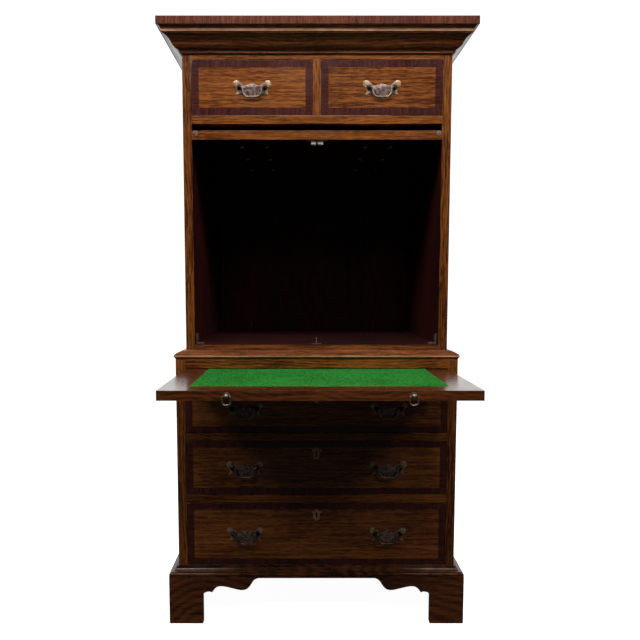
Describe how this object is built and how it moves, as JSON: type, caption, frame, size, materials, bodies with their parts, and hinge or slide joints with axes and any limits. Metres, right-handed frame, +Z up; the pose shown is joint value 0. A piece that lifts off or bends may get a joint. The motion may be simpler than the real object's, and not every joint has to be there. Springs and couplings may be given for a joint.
{
  "type": "cupboard",
  "caption": "Oak cupboard shaped as a chest on chest: up-and-over door dressed as drawers, open cavity, baize-lined slide, long drawers, cornice and bracket feet.",
  "frame": {"origin": "centre of the overall box in plan, on the floor under the feet, with the slide pulled out", "axes": "+Z up, the front with its drawers faces -Y, +X to the right of a person facing the front"},
  "size_m": [0.817, 1.0364, 1.5965],
  "materials": {
    "oak": "varnished, satin gloss",
    "oak_moulding": "varnished, satin gloss",
    "banded_front": "varnished oak with a dark crossbanded border",
    "carcass_wood": "plain, waxed",
    "brass": "aged, satin",
    "steel": "satin",
    "baize": "green felted wool"
  },
  "bodies": {
    "case": {"upper_left_side": "oak", "upper_right_side": "oak", "upper_top_rail": "oak", "top_board": "carcass_wood", "short_drawer_rail": "oak", "drawer_muntin": "oak", "cavity_floor": "oak", "back_boards": "carcass_wood", "cornice_moulding": "oak_moulding", "waist_moulding": "oak_moulding", "lower_left_side": "oak", "lower_right_side": "oak", "lower_rails": "oak", "lower_top_board": "carcass_wood", "bottom_board": "carcass_wood", "drawer_runners": "carcass_wood", "base_moulding": "oak_moulding", "bracket_plinth": "oak_moulding", "door_stops": "brass"},
    "door_carriage": {"door_shoes": "brass"},
    "door": {"door_panel": "oak", "door_false_fronts": "banded_front", "door_fittings": "brass", "roller_catch": "brass"},
    "catch_roller_left": {"catch_roller_left": "steel"},
    "catch_roller_right": {"catch_roller_right": "steel"},
    "door_bail_bottom_left": {"door_bail_bottom_left": "brass"},
    "door_bail_bottom_right": {"door_bail_bottom_right": "brass"},
    "door_bail_middle_left": {"door_bail_middle_left": "brass"},
    "door_bail_middle_right": {"door_bail_middle_right": "brass"},
    "door_bail_top_left": {"door_bail_top_left": "brass"},
    "door_bail_top_right": {"door_bail_top_right": "brass"},
    "left_short_drawer": {"left_short_drawer_front": "banded_front", "left_short_drawer_box": "carcass_wood", "left_short_drawer_fittings": "brass"},
    "left_short_drawer_bail": {"left_short_drawer_bail": "brass"},
    "right_short_drawer": {"right_short_drawer_front": "banded_front", "right_short_drawer_box": "carcass_wood", "right_short_drawer_fittings": "brass"},
    "right_short_drawer_bail": {"right_short_drawer_bail": "brass"},
    "top_drawer": {"top_drawer_front": "banded_front", "top_drawer_box": "carcass_wood", "top_drawer_fittings": "brass"},
    "top_drawer_bail_left": {"top_drawer_bail_left": "brass"},
    "top_drawer_bail_right": {"top_drawer_bail_right": "brass"},
    "middle_drawer": {"middle_drawer_front": "banded_front", "middle_drawer_box": "carcass_wood", "middle_drawer_fittings": "brass"},
    "middle_drawer_bail_left": {"middle_drawer_bail_left": "brass"},
    "middle_drawer_bail_right": {"middle_drawer_bail_right": "brass"},
    "bottom_drawer": {"bottom_drawer_front": "banded_front", "bottom_drawer_box": "carcass_wood", "bottom_drawer_fittings": "brass"},
    "bottom_drawer_bail_left": {"bottom_drawer_bail_left": "brass"},
    "bottom_drawer_bail_right": {"bottom_drawer_bail_right": "brass"},
    "slide": {"slide_board": "oak", "slide_baize": "baize", "slide_knobs": "brass"},
    "slide_ring_left": {"slide_ring_left": "brass"},
    "slide_ring_right": {"slide_ring_right": "brass"}
  },
  "joints": [
    {"name": "door_slide", "type": "slide", "parent": "case", "child": "door_carriage", "axis": [0, -1, 0], "range_m": [0, 0.5213]},
    {"name": "door_swing", "type": "hinge", "parent": "door_carriage", "child": "door", "pos_m": [0, 0.43615, 1.3124], "axis": [1, 0, 0], "range_deg": [0, 90]},
    {"name": "catch_roller_left_spin", "type": "hinge", "parent": "door", "child": "catch_roller_left", "pos_m": [-0.0091, -0.10125, 1.2925], "axis": [0, 1, 0], "continuous": true},
    {"name": "catch_roller_right_spin", "type": "hinge", "parent": "door", "child": "catch_roller_right", "pos_m": [0.0091, -0.10125, 1.2925], "axis": [0, 1, 0], "continuous": true},
    {"name": "door_bail_bottom_left_swing", "type": "hinge", "parent": "door", "child": "door_bail_bottom_left", "pos_m": [-0.1695, -0.0176, 1.333], "axis": [-1, 0, 0], "range_deg": [0, 95.1]},
    {"name": "door_bail_bottom_right_swing", "type": "hinge", "parent": "door", "child": "door_bail_bottom_right", "pos_m": [0.1695, -0.0176, 1.333], "axis": [-1, 0, 0], "range_deg": [0, 95.1]},
    {"name": "door_bail_middle_left_swing", "type": "hinge", "parent": "door", "child": "door_bail_middle_left", "pos_m": [-0.1695, 0.1747, 1.333], "axis": [-1, 0, 0], "range_deg": [0, 95.1]},
    {"name": "door_bail_middle_right_swing", "type": "hinge", "parent": "door", "child": "door_bail_middle_right", "pos_m": [0.1695, 0.1747, 1.333], "axis": [-1, 0, 0], "range_deg": [0, 95.1]},
    {"name": "door_bail_top_left_swing", "type": "hinge", "parent": "door", "child": "door_bail_top_left", "pos_m": [-0.1695, 0.367, 1.333], "axis": [-1, 0, 0], "range_deg": [0, 95.1]},
    {"name": "door_bail_top_right_swing", "type": "hinge", "parent": "door", "child": "door_bail_top_right", "pos_m": [0.1695, 0.367, 1.333], "axis": [-1, 0, 0], "range_deg": [0, 95.1]},
    {"name": "left_short_drawer_slide", "type": "slide", "parent": "case", "child": "left_short_drawer", "axis": [0, -1, 0], "range_m": [0, 0.34]},
    {"name": "left_short_drawer_bail_swing", "type": "hinge", "parent": "left_short_drawer", "child": "left_short_drawer_bail", "pos_m": [-0.1695, -0.10575, 1.43575], "axis": [-1, 0, 0], "range_deg": [0, 85]},
    {"name": "right_short_drawer_slide", "type": "slide", "parent": "case", "child": "right_short_drawer", "axis": [0, -1, 0], "range_m": [0, 0.34]},
    {"name": "right_short_drawer_bail_swing", "type": "hinge", "parent": "right_short_drawer", "child": "right_short_drawer_bail", "pos_m": [0.1695, -0.10575, 1.43575], "axis": [-1, 0, 0], "range_deg": [0, 85]},
    {"name": "top_drawer_slide", "type": "slide", "parent": "case", "child": "top_drawer", "axis": [0, -1, 0], "range_m": [0, 0.38]},
    {"name": "top_drawer_bail_left_swing", "type": "hinge", "parent": "top_drawer", "child": "top_drawer_bail_left", "pos_m": [-0.1945, -0.13075, 0.5905], "axis": [-1, 0, 0], "range_deg": [0, 85]},
    {"name": "top_drawer_bail_right_swing", "type": "hinge", "parent": "top_drawer", "child": "top_drawer_bail_right", "pos_m": [0.1945, -0.13075, 0.5905], "axis": [-1, 0, 0], "range_deg": [0, 85]},
    {"name": "middle_drawer_slide", "type": "slide", "parent": "case", "child": "middle_drawer", "axis": [0, -1, 0], "range_m": [0, 0.38]},
    {"name": "middle_drawer_bail_left_swing", "type": "hinge", "parent": "middle_drawer", "child": "middle_drawer_bail_left", "pos_m": [-0.1945, -0.13075, 0.42875], "axis": [-1, 0, 0], "range_deg": [0, 85]},
    {"name": "middle_drawer_bail_right_swing", "type": "hinge", "parent": "middle_drawer", "child": "middle_drawer_bail_right", "pos_m": [0.1945, -0.13075, 0.42875], "axis": [-1, 0, 0], "range_deg": [0, 85]},
    {"name": "bottom_drawer_slide", "type": "slide", "parent": "case", "child": "bottom_drawer", "axis": [0, -1, 0], "range_m": [0, 0.38]},
    {"name": "bottom_drawer_bail_left_swing", "type": "hinge", "parent": "bottom_drawer", "child": "bottom_drawer_bail_left", "pos_m": [-0.1945, -0.13075, 0.24375], "axis": [-1, 0, 0], "range_deg": [0, 85]},
    {"name": "bottom_drawer_bail_right_swing", "type": "hinge", "parent": "bottom_drawer", "child": "bottom_drawer_bail_right", "pos_m": [0.1945, -0.13075, 0.24375], "axis": [-1, 0, 0], "range_deg": [0, 85]},
    {"name": "slide_pull", "type": "slide", "parent": "case", "child": "slide", "axis": [0, -1, 0], "range_m": [-0.38, 0]},
    {"name": "slide_ring_left_swing", "type": "hinge", "parent": "slide", "child": "slide_ring_left", "pos_m": [-0.2, -0.51175, 0.6873], "axis": [-1, 0, 0], "range_deg": [0, 85]},
    {"name": "slide_ring_right_swing", "type": "hinge", "parent": "slide", "child": "slide_ring_right", "pos_m": [0.2, -0.51175, 0.6873], "axis": [-1, 0, 0], "range_deg": [0, 85]}
  ]
}
